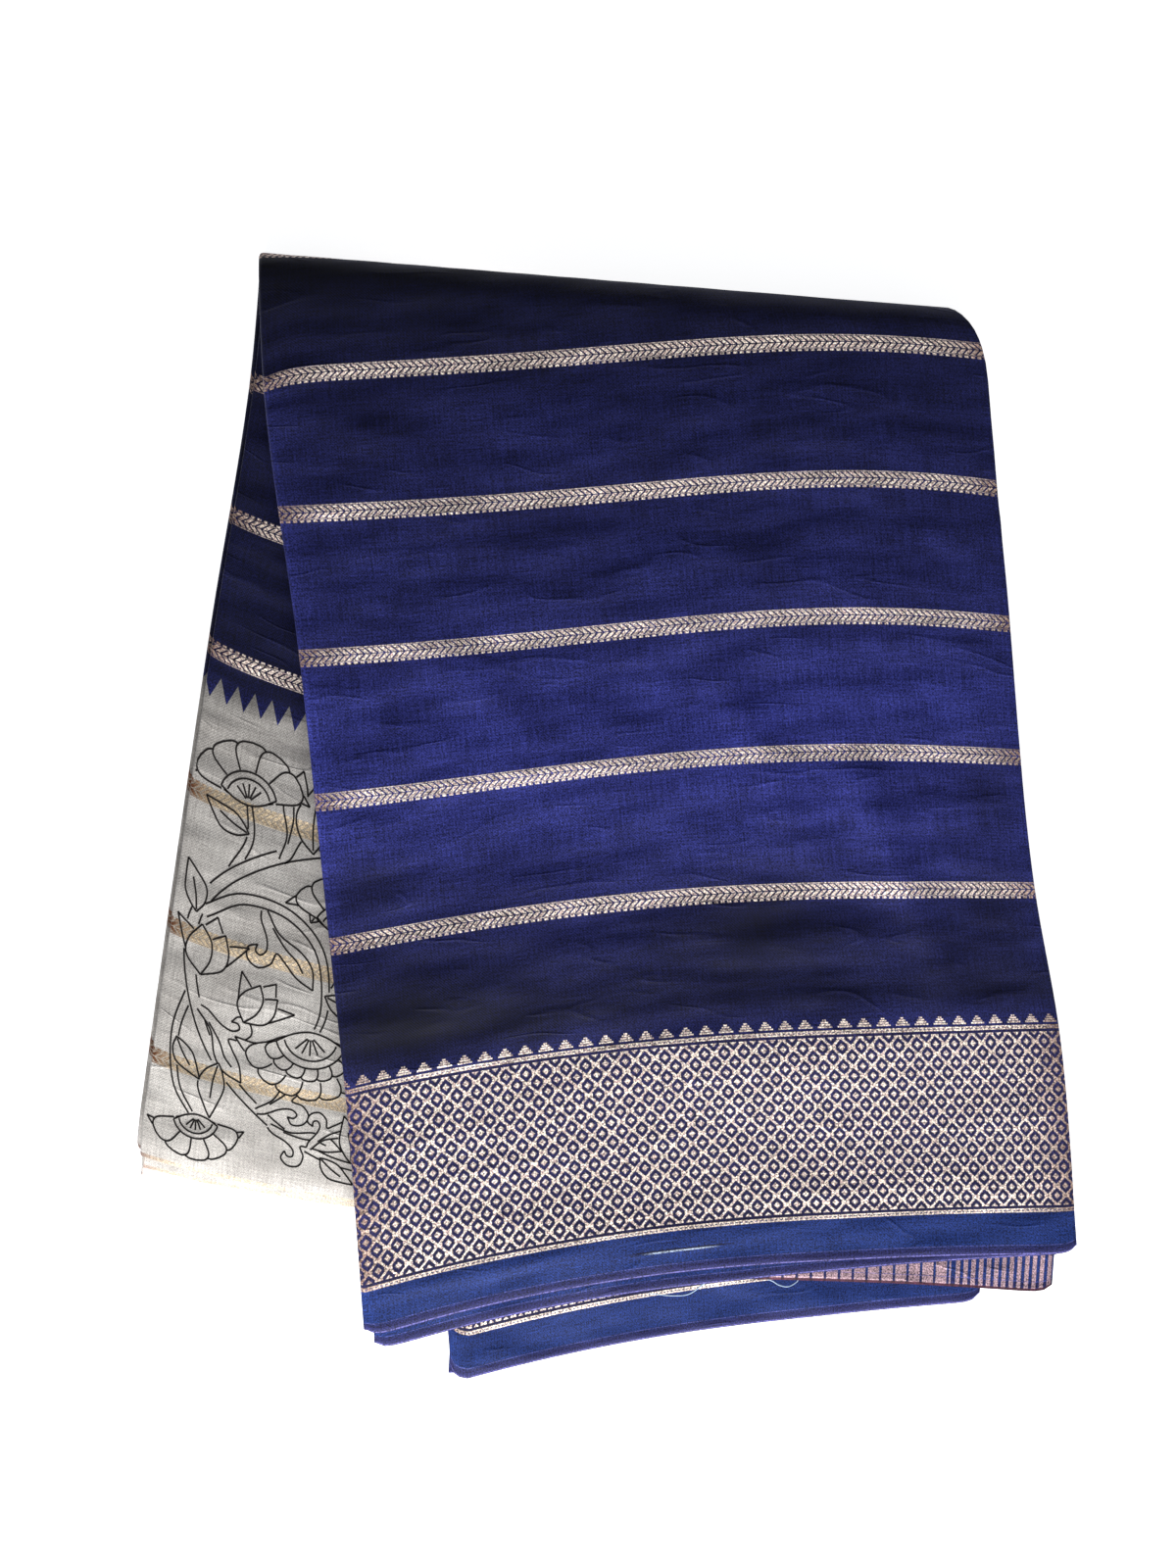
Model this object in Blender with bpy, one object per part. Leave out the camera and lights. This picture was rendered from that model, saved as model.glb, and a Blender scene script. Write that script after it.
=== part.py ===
"""Folded sari: one long woven cloth, folded back and forth into a band of
panels, and the band folded in half over a slanting line at its top.

The shape is worked out in the frame of that fold line: "along" runs with the
line to the right, "across" runs away from it. A point of the cloth lies on
the upper half (across below zero), on the turn, or on the lower half. Every
layer keeps its own distance from the middle plane of the fold.
"""
import math

import bmesh
import bpy
import numpy as np

MM = 0.001

# Cloth and pile, in metres
CLOTH_THICKNESS = 1.0 * MM
LAYER_PITCH = 1.3 * MM
INNERMOST_OFFSET = 1.2 * MM
PANEL_WIDTH = 390 * MM

# The fold line at the top, as seen from above
FOLD_TURN = math.radians(-2.9)
FOLD_POINT = (0.0, 277.5 * MM)

# Outline of the band of panels, unrolled over the fold line, in millimetres.
# A row joins the two edges along one thread line, from the front selvedge to
# the far one. Its bow lifts the middle, most at bow_peak of the panel.
# Columns: left_along, left_across, right_along, right_across, bow, bow_peak
BAND_ROWS = (
    (-102, -565, 296, -513, 19, 0.45),
    (-119, -431, 276, -383, 12, 0.45),
    (-131, -354, 257, -307, 12, 0.48),
    (-155, -200, 233, -158, 9, 0.68),
    (-182, -50, 211, -8, 8, 0.71),
    (-188, 27, 204, 70, 8, 0.60),
    (-191, 98, 200, 145, 8, 0.40),
    (-206, 242, 184, 298, 14, 0.35),
    (-220, 391, 165, 440, 12, 0.35),
    (-232, 524, 140, 560, 8, 0.35),
)

# The panels in the order of the cloth, from its outer cut end to its inner
# one. Drops say how far the front hem hangs below the top panel's, at the
# left, middle and right. Insets say how far the fold or end stands back at
# the front hem. All in millimetres.
# Columns: layer, runs, drop_left, drop_middle, drop_right, inset_left, inset_right
PANEL_ROWS = (
    (12, "left", 9, 7, 23, 4, 13),
    (13, "right", 9, 8, 0, 4, 0),
    (14, "left", 0, 0, 0, 0, 0),
    (11, "right", 0, 4, 15, 0, 4),
    (10, "left", 4, 5, 15, 2, 4),
    (9, "right", 4, 5, 12, 2, 6),
    (8, "left", 6, 5, 12, 3, 6),
    (7, "right", 42, 36, 29, 43, 55),
    (6, "left", 41, 35, 29, 45, 55),
    (5, "right", 41, 35, 28, 45, 57),
    (4, "left", 42, 35, 28, 47, 57),
    (3, "right", 42, 36, 27, 47, 58),
    (2, "left", 44, 36, 27, 48, 58),
    (1, "right", 44, 37, 26, 48, 62),
)

# The upper half slopes down past the right edge and the lower edge of the
# half that it lies on.
OVERHANG_AT_FOLD = 6 * MM
CREASE_MARGIN = 3 * MM
RIGHT_SLOPE = 0.13
LOWER_EDGE_ACROSS = -484 * MM
LOWER_EDGE_LEAN = -0.14
LOWER_SLOPE = 0.10
HEM_STRIP = 12 * MM

# An inset fades from the hem towards the fold line, but for a last tuck
TUCK = 2.5 * MM
INSET_FULL_ACROSS = -545 * MM
INSET_GONE_ACROSS = -150 * MM

# Sampling
SPAN_LEFT = 4
SPAN_RIGHT = 2
COLUMNS = SPAN_LEFT + SPAN_RIGHT
FRONT_STATIONS = (-420 * MM, -350 * MM, -280 * MM, -210 * MM, -140 * MM, -70 * MM)
TURN_STEPS = 5
BACK_STEPS = 4
FOLD_POINT_ANGLES = (50, 130)
LEAD_LENGTH = 3 * MM

NAVY = (0.012, 0.016, 0.095, 1.0)

BAND_COLUMNS = ("left_along", "left_across", "right_along", "right_across", "bow", "bow_peak")
BAND = {name: np.array(values, float) for name, values in zip(BAND_COLUMNS, zip(*BAND_ROWS))}
for key in BAND_COLUMNS[:-1]:
    BAND[key] *= MM

TOP_LAYER = max(row[0] for row in PANEL_ROWS)
MIDDLE_HEIGHT = INNERMOST_OFFSET + (TOP_LAYER - 1) * LAYER_PITCH + CLOTH_THICKNESS / 2


def layer_offset(layer):
    """Distance of a layer from the middle plane of the half fold."""
    return INNERMOST_OFFSET + (layer - 1) * LAYER_PITCH


def left_along(across):
    """Left edge of the band at an unrolled distance across the fold line."""
    return float(np.interp(across, BAND["left_across"], BAND["left_along"]))


def right_along(across):
    """Right edge of the band at an unrolled distance across the fold line."""
    return float(np.interp(across, BAND["right_across"], BAND["right_along"]))


def crease_along(across):
    """Line on the upper half above the right edge of the lower half."""
    lower_half_edge = right_along(math.pi * INNERMOST_OFFSET - across)
    return min(lower_half_edge + CREASE_MARGIN, right_along(across) - OVERHANG_AT_FOLD)


def lower_edge(along):
    """Line on the upper half above the lower edge of the lower half."""
    return LOWER_EDGE_ACROSS + LOWER_EDGE_LEAN * (along - BAND["left_along"][-1])


def column_along(column, across):
    """Place of a column of points: the columns meet the crease line."""
    left, right = left_along(across), right_along(across)
    crease = crease_along(across)
    if column <= SPAN_LEFT:
        return left + (crease - left) * column / SPAN_LEFT
    return crease + (right - crease) * (column - SPAN_LEFT) / SPAN_RIGHT


def bow_at(row, share):
    """Height of the bow of the band's end rows, at a share of the panel."""
    power = math.log(0.5) / math.log(BAND["bow_peak"][row])
    return BAND["bow"][row] * math.sin(math.pi * min(1.0, max(0.0, share)) ** power)


def end_across(row, share):
    """Unrolled distance of the first or last row of the band."""
    left, right = BAND["left_across"][row], BAND["right_across"][row]
    return left + (right - left) * share + bow_at(row, share)


def inset_share(across):
    """One at the front hem, fading to nothing towards the fold line."""
    t = (INSET_GONE_ACROSS - across) / (INSET_GONE_ACROSS - INSET_FULL_ACROSS)
    t = min(1.0, max(0.0, t))
    return t * t * (3 - 2 * t)


def node_along(column, inset, across):
    """Place of a node of the section, with its fold or end set back."""
    shift = max(inset * inset_share(across), min(inset, TUCK))
    return column_along(column, across) + (shift if column == 0 else -shift)


def slope_down(along, across):
    """How far the upper half sinks where nothing lies under it."""
    past_right = max(0.0, along - crease_along(across)) if across < 0 else 0.0
    past_lower = max(0.0, lower_edge(along) - across)
    return RIGHT_SLOPE * past_right + LOWER_SLOPE * past_lower


def to_world(along, across, offset):
    """Roll an unrolled point over the fold line and turn it into place."""
    half_turn = math.pi * offset
    if across <= 0:
        flat, rise = across, offset - slope_down(along, across)
    elif across < half_turn:
        angle = across / offset
        flat, rise = offset * math.sin(angle), offset * math.cos(angle)
    else:
        flat, rise = half_turn - across, -offset
    cos_turn, sin_turn = math.cos(FOLD_TURN), math.sin(FOLD_TURN)
    x = FOLD_POINT[0] + along * cos_turn - flat * sin_turn
    y = FOLD_POINT[1] + along * sin_turn + flat * cos_turn
    return x, y, MIDDLE_HEIGHT + rise


def drop_at(panel, share):
    """Front hem drop of a panel, through its three named drops."""
    return float(np.interp(share, (0, 0.5, 1), panel[2:5])) * MM


def centre_line():
    """Nodes of the back-and-forth section, in the order of the cloth.

    A node is its column, its step sideways, its layer, its drop and its inset.
    """
    nodes = []
    for number, panel in enumerate(PANEL_ROWS):
        layer, runs = panel[0], panel[1]
        order = range(COLUMNS + 1) if runs == "right" else range(COLUMNS, -1, -1)
        side = 0 if runs == "right" else COLUMNS
        inset_column = 5 if runs == "right" else 6
        if number and abs(panel[inset_column] - PANEL_ROWS[number - 1][inset_column]) > 10:
            before = PANEL_ROWS[number - 1]
            held = drop_at(before, side / COLUMNS)
            inset = panel[inset_column] * MM
            nodes.append((side, 0.0, layer, held, before[inset_column] * MM))
            nodes.append((side, LEAD_LENGTH, layer, held, inset))
            nodes.append((side, 2 * LEAD_LENGTH, layer, drop_at(panel, side / COLUMNS), inset))
            order = list(order)[1:]
        for column in order:
            inset = 0.0
            if column == 0:
                inset = panel[5] * MM
            elif column == COLUMNS:
                inset = panel[6] * MM
            nodes.append((column, 0.0, layer, drop_at(panel, column / COLUMNS), inset))
        if number + 1 < len(PANEL_ROWS):
            nodes += fold_nodes(nodes[-1], PANEL_ROWS[number + 1][0])
    return nodes


def fold_nodes(last, next_layer):
    """Round the end of a panel to the layer that the cloth goes on in."""
    column, _, layer, drop, inset = last
    outward = -1 if column == 0 else 1
    radius = abs(next_layer - layer) * LAYER_PITCH / 2
    nodes = []
    for angle in FOLD_POINT_ANGLES:
        turned = math.radians(angle)
        step = outward * radius * math.sin(turned)
        between = layer + (next_layer - layer) * (1 - math.cos(turned)) / 2
        nodes.append((column, step, between, drop, inset))
    return nodes


def section_outline():
    """Both faces of the section: each node pushed out by half the cloth."""
    nodes = centre_line()
    flat = np.array([[column / COLUMNS * PANEL_WIDTH + step + (inset if column == 0 else -inset),
                      layer_offset(layer)] for column, step, layer, _, inset in nodes])
    runs = np.diff(flat, axis=0)
    runs /= np.linalg.norm(runs, axis=1)[:, None]
    before = np.vstack([runs[:1], runs])
    after = np.vstack([runs, runs[-1:]])
    mean = before + after
    mean /= np.linalg.norm(mean, axis=1)[:, None]
    stretch = 1 / np.sum(mean * after, axis=1)
    normal = np.stack([-mean[:, 1], mean[:, 0]], axis=1) * stretch[:, None]
    half = CLOTH_THICKNESS / 2
    near = [(node, normal[i] * half) for i, node in enumerate(nodes)]
    far = [(node, normal[i] * -half) for i, node in enumerate(nodes)]
    return near + far[::-1]


def sweep_point(point, station):
    """Place of an outline point at one station of the way over the fold."""
    (column, step, layer, drop, inset), push = point
    offset = layer_offset(layer) + push[1]
    share = column / COLUMNS
    kind, value = station
    hem_share = share + (inset if column == 0 else -inset) / PANEL_WIDTH
    hem_across = end_across(0, hem_share) - drop
    if kind == "hem":
        across = hem_across
    elif kind == "lower":
        crease = lower_edge(node_along(column, inset, LOWER_EDGE_ACROSS) + step)
        across = max(crease, hem_across + HEM_STRIP)
    elif kind == "front":
        across = value
    elif kind == "turn":
        across = value * math.pi * offset
    else:
        last = end_across(-1, share) - drop
        first = math.pi * offset
        across = first + (last - first) * value
    along = node_along(column, inset, across) + step + push[0]
    return to_world(along, across, offset)


def stations():
    """Stations from the front hem, over the turn, to the far selvedge."""
    rows = [("hem", 0), ("lower", 0)]
    rows += [("front", across) for across in FRONT_STATIONS]
    rows += [("turn", i / TURN_STEPS) for i in range(TURN_STEPS + 1)]
    rows += [("back", i / BACK_STEPS) for i in range(1, BACK_STEPS + 1)]
    return rows


def loft(rings):
    """Closed mesh through rings of points, with both ends capped."""
    mesh = bmesh.new()
    loops = [[mesh.verts.new(point) for point in ring] for ring in rings]
    count = len(loops[0])
    for first, second in zip(loops, loops[1:]):
        for i in range(count):
            j = (i + 1) % count
            mesh.faces.new((first[i], first[j], second[j], second[i]))
    start, end = loops[0], loops[-1]
    for i in range(count // 2 - 1):
        j = count - 1 - i
        mesh.faces.new((start[j], start[j - 1], start[i + 1], start[i]))
        mesh.faces.new((end[i], end[i + 1], end[j - 1], end[j]))
    bmesh.ops.triangulate(mesh, faces=mesh.faces, quad_method="FIXED")
    return mesh


def centre_on_base(mesh):
    """Put the origin at the middle of the bottom of the pile."""
    places = np.array([vertex.co for vertex in mesh.verts])
    low, high = places.min(axis=0), places.max(axis=0)
    shift = (-(low[0] + high[0]) / 2, -(low[1] + high[1]) / 2, -low[2])
    bmesh.ops.translate(mesh, verts=mesh.verts, vec=shift)


def cloth_material():
    """Navy silk and cotton cloth with a soft gloss."""
    material = bpy.data.materials.new("navy_silk_cotton")
    material.use_nodes = True
    shader = material.node_tree.nodes["Principled BSDF"]
    shader.inputs["Base Color"].default_value = NAVY
    shader.inputs["Roughness"].default_value = 0.55
    shader.inputs["Metallic"].default_value = 0.0
    return material


def build_sari(collection):
    """The whole cloth as one solid."""
    outline = section_outline()
    rings = [[sweep_point(point, station) for point in outline] for station in stations()]
    solid = loft(rings)
    centre_on_base(solid)
    data = bpy.data.meshes.new("sari")
    solid.to_mesh(data)
    solid.free()
    data.materials.append(cloth_material())
    sari = bpy.data.objects.new("sari", data)
    collection.objects.link(sari)
    return sari


for thing in list(bpy.data.objects):
    bpy.data.objects.remove(thing, do_unlink=True)
parts = bpy.data.collections.new("folded_sari")
bpy.context.scene.collection.children.link(parts)
build_sari(parts)
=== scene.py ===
"""Looks of the folded sari: a fine thin sheet on the pile's own folds, with its
woven stripes, brocade border and printed half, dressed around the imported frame.

The shape is worked out in the frame of the half fold's line: "along" runs
with that line to the right and "across" runs away from it. Widths are measured
across the cloth from its front selvedge.
"""

import logging
import math
from dataclasses import dataclass, field
from enum import Enum
from functools import reduce
from typing import Any

import bpy
import numpy as np
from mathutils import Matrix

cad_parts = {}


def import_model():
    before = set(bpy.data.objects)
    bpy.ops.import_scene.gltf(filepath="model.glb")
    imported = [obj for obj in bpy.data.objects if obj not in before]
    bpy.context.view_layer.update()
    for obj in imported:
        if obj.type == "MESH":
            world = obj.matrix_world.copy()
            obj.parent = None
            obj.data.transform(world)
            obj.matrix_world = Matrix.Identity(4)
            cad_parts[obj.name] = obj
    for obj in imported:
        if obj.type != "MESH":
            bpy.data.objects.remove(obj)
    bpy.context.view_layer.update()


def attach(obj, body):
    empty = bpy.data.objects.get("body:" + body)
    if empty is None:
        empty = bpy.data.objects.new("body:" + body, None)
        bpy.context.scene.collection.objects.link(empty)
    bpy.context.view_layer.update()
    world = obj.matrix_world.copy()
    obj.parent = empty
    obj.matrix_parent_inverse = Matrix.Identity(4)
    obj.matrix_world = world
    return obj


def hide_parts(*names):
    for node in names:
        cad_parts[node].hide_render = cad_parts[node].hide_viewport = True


LOG = logging.getLogger("folded_sari")
MM = 0.001
BODY = "root"
NODE = "sari"

# Middle of the pile's outline in the frame of its driving sizes, in metres
CENTRE_SHIFT = (6.388 * MM, -3.820 * MM)


class Runs(Enum):
    """Way in which the cloth runs along a panel."""

    RIGHT = 1
    LEFT = -1


@dataclass(frozen=True)
class Panel:
    """One panel of the back-and-forth fold, sizes in millimetres.

    Drops say how far its front hem hangs below the top panel's at the left,
    middle and right. Insets say how far its fold or end stands back there.
    """

    layer: int
    runs: Runs
    drops: tuple[float, float, float]
    insets: tuple[float, float]
    columns: int


@dataclass(frozen=True)
class BandRow:
    """One thread line along the band of panels, sizes in millimetres."""

    width_at: float
    left: tuple[float, float]
    right: tuple[float, float]
    bow: float
    bow_peak: float


@dataclass(frozen=True)
class Swell:
    """A soft rise on the upper half, sizes in millimetres."""

    x: float
    y: float
    length: float
    width: float
    turn_deg: float
    height: float


@dataclass(frozen=True)
class PaintedPatch:
    """A painted patch of shade or sheen, its widths in millimetres."""

    share: float
    width_at: float
    reach: float
    width_reach: float
    amount: float


def smooth_through(x: np.ndarray, xs: np.ndarray, ys: np.ndarray) -> np.ndarray:
    """Cubic curve through points, with each slope taken from its neighbours.

    Args:
        x: where to read the curve.
        xs: rising places of the points.
        ys: values at those places.

    Returns:
        The curve's values, held at both ends.
    """
    slopes = np.gradient(ys, xs)
    held = np.clip(x, xs[0], xs[-1])
    i = np.clip(np.searchsorted(xs, held) - 1, 0, len(xs) - 2)
    gap = xs[i + 1] - xs[i]
    t = (held - xs[i]) / gap
    start = ys[i] * (2 * t**3 - 3 * t**2 + 1) + slopes[i] * gap * (t**3 - 2 * t**2 + t)
    end = ys[i + 1] * (3 * t**2 - 2 * t**3) + slopes[i + 1] * gap * (t**3 - t**2)
    return start + end


def soft_past(distance: np.ndarray, rounding: float) -> np.ndarray:
    """Distance past a line, rounded at the line: half of d plus root of d² + r²."""
    return 0.5 * (distance + np.sqrt(distance**2 + rounding**2))


@dataclass
class PileShape:
    """The surface that the whole cloth lies on."""

    layer_pitch: float = 1.3 * MM
    innermost_offset: float = 1.2 * MM
    cloth_thickness: float = 0.5 * MM
    frame_thickness: float = 1.0 * MM
    panel_width: float = 390 * MM
    cloth_width: float = 1118 * MM
    fold_turn: float = math.radians(-2.9)
    fold_point: tuple[float, float] = (0.0, 277.5 * MM)
    overhang_at_fold: float = 6 * MM
    crease_margin: float = 3 * MM
    right_slope: float = 0.13
    lower_edge_across: float = -484 * MM
    lower_edge_lean: float = -0.14
    lower_slope: float = 0.10
    crease_rounding: float = 20 * MM
    inset_full_across: float = -545 * MM
    inset_gone_across: float = -150 * MM
    tuck: float = 2.5 * MM
    dip: float = 6 * MM
    dip_reach: float = 0.03
    dip_width_at: float = 535
    dip_half_width: float = 45
    sink_reach: float = 40 * MM
    swell_reach: float = 60 * MM
    hem_corner_high: float = 12 * MM
    hem_corner: float = 5 * MM
    hem_corner_reach: float = 4 * MM
    fold_corner: float = 17 * MM
    fold_corner_reach: float = 26 * MM
    band: tuple[BandRow, ...] = (
        BandRow(0, (-102, -565), (296, -513), 19, 0.45),
        BandRow(132, (-119, -431), (276, -383), 12, 0.45),
        BandRow(210, (-131, -354), (257, -307), 12, 0.48),
        BandRow(365, (-155, -200), (233, -158), 9, 0.68),
        BandRow(519, (-182, -50), (211, -8), 8, 0.71),
        BandRow(598, (-188, 22), (204, 70), 8, 0.60),
        BandRow(675, (-191, 98), (200, 145), 8, 0.40),
        BandRow(829, (-206, 242), (184, 298), 14, 0.35),
        BandRow(981, (-220, 391), (165, 440), 12, 0.35),
        BandRow(1118, (-231, 516), (140, 552), 8, 0.35),
    )
    panels: tuple[Panel, ...] = (
        Panel(12, Runs.LEFT, (9, 7, 23), (4, 13), 36),
        Panel(13, Runs.RIGHT, (9, 8, 0), (4, 0), 36),
        Panel(14, Runs.LEFT, (0, 0, 0), (0, 0), 80),
        Panel(11, Runs.RIGHT, (0, 3, 5), (0, 8), 12),
        Panel(10, Runs.LEFT, (3, 3, 5), (2, 8), 6),
        Panel(9, Runs.RIGHT, (3, 3, 5), (2, 9), 6),
        Panel(8, Runs.LEFT, (4, 3, 5), (3, 9), 6),
        Panel(7, Runs.RIGHT, (42, 36, 29), (43, 55), 36),
        Panel(6, Runs.LEFT, (41, 35, 28), (45, 56), 8),
        Panel(5, Runs.RIGHT, (40, 34, 27), (46, 58), 6),
        Panel(4, Runs.LEFT, (40, 34, 27), (48, 58), 6),
        Panel(3, Runs.RIGHT, (40, 34, 26), (48, 60), 6),
        Panel(2, Runs.LEFT, (41, 34, 26), (50, 60), 12),
        Panel(1, Runs.RIGHT, (41, 34, 25), (50, 62), 44),
    )
    swells: tuple[Swell, ...] = (
        Swell(40, 118, 330, 30, 6, 2.9),
        Swell(-60, 30, 220, 30, 10, 2.7),
        Swell(95, 12, 170, 34, -8, 3.6),
        Swell(-70, -80, 150, 26, 14, 2.9),
        Swell(105, -125, 170, 22, 4, 2.9),
        Swell(60, 215, 300, 30, -2, 1.8),
        Swell(-20, -225, 160, 18, 10, 1.8),
        Swell(150, -205, 180, 16, 2, 1.4),
        Swell(140, 157, 150, 6, 7, 2.1),
        Swell(-137, 210, 80, 7, -14, 1.6),
        Swell(-76, 72, 100, 12, -42, 2.1),
        Swell(67, 60, 110, 9, -63, 2.6),
        Swell(155, -30, 190, 12, -65, 3.5),
        Swell(-77, -26, 110, 9, -8, 1.6),
        Swell(90, -66, 130, 8, 5, 1.9),
        Swell(-23, 145, 160, 7, -3, 1.6),
        Swell(156, 60, 110, 8, -20, 1.9),
        Swell(-2, -101, 100, 8, -24, 1.6),
        Swell(-150, -120, 60, 12, 70, 2.1),
        Swell(20, 190, 240, 9, 1, 1.4),
        Swell(-95, 165, 120, 9, 4, 1.4),
        Swell(120, 215, 150, 8, -4, 1.4),
        Swell(35, -230.5, 76, 2.2, 7, 1.7),
        Swell(60, -222, 90, 5, 4, 1.4),
        Swell(-60, -240, 110, 4, 12, 1.4),
    )
    rows: dict[str, np.ndarray] = field(init=False)

    def __post_init__(self) -> None:
        """Turn the band's rows into arrays in metres."""
        self.rows = {
            "width_at": np.array([row.width_at for row in self.band]) * MM,
            "left_along": np.array([row.left[0] for row in self.band]) * MM,
            "left_across": np.array([row.left[1] for row in self.band]) * MM,
            "right_along": np.array([row.right[0] for row in self.band]) * MM,
            "right_across": np.array([row.right[1] for row in self.band]) * MM,
            "bow": np.array([row.bow for row in self.band]) * MM,
            "bow_peak": np.array([row.bow_peak for row in self.band]),
        }

    @property
    def middle_height(self) -> float:
        """Height of the half fold's middle plane."""
        outermost = max(panel.layer for panel in self.panels)
        return self.offset(outermost) + self.frame_thickness / 2

    def offset(self, layer: float) -> float:
        """Distance of a layer from the middle plane."""
        return self.innermost_offset + (layer - 1) * self.layer_pitch

    def edge(self, side: str, across: np.ndarray) -> np.ndarray:
        """Place along of the band's left or right edge at a distance across."""
        return smooth_through(across, self.rows[side + "_across"], self.rows[side + "_along"])

    def across_at(self, share: np.ndarray, width: np.ndarray) -> np.ndarray:
        """Unrolled distance of a thread line: its chord plus a bow of one hump.

        Args:
            share: place along the panel, 0 at its left and 1 at its right.
            width: place across the cloth from the front selvedge.

        Returns:
            Signed distance past the fold line, for the top panel.
        """
        ends = [smooth_through(width, self.rows["width_at"], self.rows[side + "_across"])
                for side in ("left", "right")]
        bow = smooth_through(width, self.rows["width_at"], self.rows["bow"])
        peak = smooth_through(width, self.rows["width_at"], self.rows["bow_peak"])
        power = math.log(0.5) / np.log(peak)
        hump = np.sin(math.pi * np.clip(share, 0, 1) ** power)
        by_fold = np.exp(-np.clip(share, 0, 1) / self.dip_reach
                         - ((width / MM - self.dip_width_at) / self.dip_half_width) ** 2)
        return ends[0] + (ends[1] - ends[0]) * share + bow * hump - self.dip * by_fold

    def crease(self, across: np.ndarray) -> np.ndarray:
        """Line on the upper half above the right edge of the lower half."""
        lower_half = self.edge("right", math.pi * self.innermost_offset - across)
        return np.minimum(lower_half + self.crease_margin,
                          self.edge("right", across) - self.overhang_at_fold)

    def slope_down(self, along: np.ndarray, across: np.ndarray) -> np.ndarray:
        """How far the upper half sinks where nothing lies under it."""
        past_right = soft_past(along - self.crease(across), self.crease_rounding)
        lower_edge = self.lower_edge_across + self.lower_edge_lean * (along - self.rows["left_along"][-1])
        past_lower = soft_past(lower_edge - across, self.crease_rounding)
        near_fold = np.clip(-across / self.sink_reach, 0, 1)
        return (self.right_slope * past_right + self.lower_slope * past_lower) * near_fold

    def swell(self, x: np.ndarray, y: np.ndarray) -> np.ndarray:
        """Sum of the soft rises, each a bell that is long one way."""
        total = np.zeros_like(x)
        for rise in self.swells:
            turn = math.radians(rise.turn_deg)
            dx, dy = x - rise.x * MM, y - rise.y * MM
            run = (dx * math.cos(turn) + dy * math.sin(turn)) / (rise.length * MM / 2)
            off = (dy * math.cos(turn) - dx * math.sin(turn)) / (rise.width * MM)
            total += rise.height * MM * np.exp(-run**2 - off**2)
        return total

    def set_back(self, across: np.ndarray, inset: tuple[np.ndarray, np.ndarray]) -> list[np.ndarray]:
        """Insets of a panel's left and right ends, full at the hem and faded towards the fold."""
        t = np.clip((self.inset_gone_across - across)
                    / (self.inset_gone_across - self.inset_full_across), 0, 1)
        faded = t * t * (3 - 2 * t)
        return [np.maximum(size * faded, np.minimum(size, self.tuck)) for size in inset]

    def corner_lift(self, share: np.ndarray, width: np.ndarray) -> np.ndarray:
        """How far the front hem's corners round up beside the folds."""
        from_side = np.minimum(share, 1 - share) * self.panel_width
        return self.hem_corner * np.exp(-from_side / self.hem_corner_reach - width / self.hem_corner_high)

    def place(self, share: np.ndarray, step: np.ndarray, width: np.ndarray, offset: np.ndarray,
              drop: np.ndarray, inset: tuple[np.ndarray, np.ndarray]) -> np.ndarray:
        """Place of cloth points, rolled over the fold line and turned.

        Args:
            share: place along the panel, from 0 to 1.
            step: further step sideways, in metres, as round a fold.
            width: place across the cloth.
            offset: distance from the middle plane of the fold.
            drop: how far the point hangs below the top panel's.
            inset: how far the panel's left and right ends stand back.

        Returns:
            An array of places, one row for each point.
        """
        across = self.across_at(share, width) - drop
        set_back = self.set_back(across, inset)
        narrowed = share + (set_back[0] * (1 - share) - set_back[1] * share) / self.panel_width
        across = self.across_at(narrowed, width) - drop + self.corner_lift(share, width)
        half_turn = math.pi * offset
        outermost = self.offset(max(panel.layer for panel in self.panels))
        past_turn = np.clip(across / half_turn, 0, 1)
        level = across + math.pi * (outermost - offset) * past_turn**2 * (3 - 2 * past_turn)
        left = self.edge("left", level) + set_back[0]
        right = self.edge("right", level) - set_back[1]
        over_fold = (across - half_turn / 2) / self.fold_corner_reach
        right = right - self.fold_corner * np.exp(-over_fold**2) * offset / outermost
        along = left + (right - left) * share + step
        angle = np.clip(across / offset, 0, math.pi)
        flat = np.where(across <= 0, across,
                        np.where(across < half_turn, offset * np.sin(angle), half_turn - across))
        rise = offset * np.cos(angle) - np.where(across < 0, self.slope_down(along, across), 0)
        cos_turn, sin_turn = math.cos(self.fold_turn), math.sin(self.fold_turn)
        x = self.fold_point[0] + along * cos_turn - flat * sin_turn - CENTRE_SHIFT[0]
        y = self.fold_point[1] + along * sin_turn + flat * cos_turn - CENTRE_SHIFT[1]
        lifted = (np.clip(offset / outermost, 0, 1) ** 2) * np.clip(-across / self.swell_reach, 0, 1)
        z = self.middle_height + rise + self.swell(x, y) * lifted
        return np.stack([x, y, z], axis=-1)


SECTION = ("share", "step", "layer", "drop", "inset_left", "inset_right")


def panel_drop(panel: Panel, share: float) -> float:
    """Hem drop of a panel through its three named drops, in metres."""
    return float(np.interp(share, (0, 0.5, 1), panel.drops)) * MM


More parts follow.
